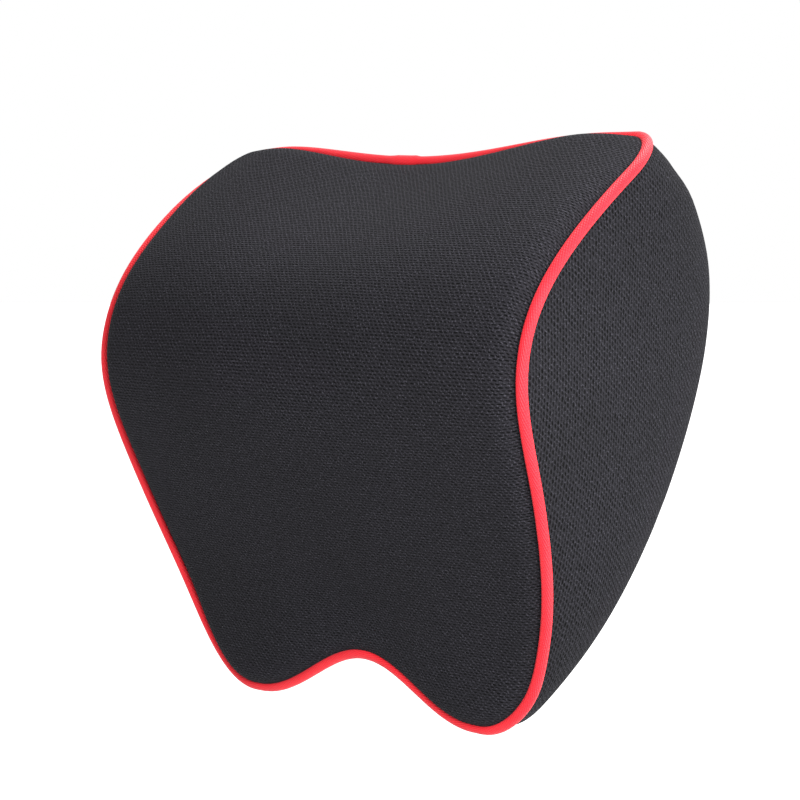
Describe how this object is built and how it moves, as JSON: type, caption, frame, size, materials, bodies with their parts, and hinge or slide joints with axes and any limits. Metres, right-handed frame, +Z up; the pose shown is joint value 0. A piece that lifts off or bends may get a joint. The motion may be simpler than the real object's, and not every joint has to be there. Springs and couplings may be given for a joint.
{
  "type": "car neck pillow",
  "caption": "Car headrest neck pillow: lobed foam block in a black mesh knit cover with red piping, a zip and an elastic band at the back.",
  "frame": {"origin": "middle of the elastic band's outer face, which lies against the headrest", "axes": "+Z up, -Y towards the neck, +Y towards the headrest, +X the sitter's left"},
  "size_m": [0.2892, 0.1558, 0.2672],
  "materials": {
    "black_knit": "mesh knit",
    "red_piping": "woven",
    "memory_foam": "open cell",
    "zip_black": "matte",
    "zip_metal": "black lacquer",
    "black_elastic": "ribbed elastic"
  },
  "bodies": {
    "pillow": {"foam_core": "memory_foam", "front_panel": "black_knit", "back_panel": "black_knit", "right_side_panel": "black_knit", "left_side_panel": "black_knit", "piping": "red_piping", "zip_tape_upper": "zip_black", "zip_tape_lower": "zip_black", "zip_coil_upper": "zip_black", "zip_coil_lower": "zip_black", "zip_stop_closed": "zip_metal", "zip_stop_open": "zip_metal", "elastic_band": "black_elastic"},
    "zip_slider": {"zip_slider": "zip_metal"},
    "zip_puller": {"zip_puller": "zip_metal"}
  },
  "joints": [
    {"name": "zip_travel", "type": "slide", "parent": "pillow", "child": "zip_slider", "axis": [-1, 0, 0], "range_m": [0, 0.19]},
    {"name": "puller_swing", "type": "hinge", "parent": "zip_slider", "child": "zip_puller", "pos_m": [0.09503, -0.0277, -0.09186], "axis": [0, 0.4156, 0.9095], "range_deg": [-180, 0]}
  ]
}
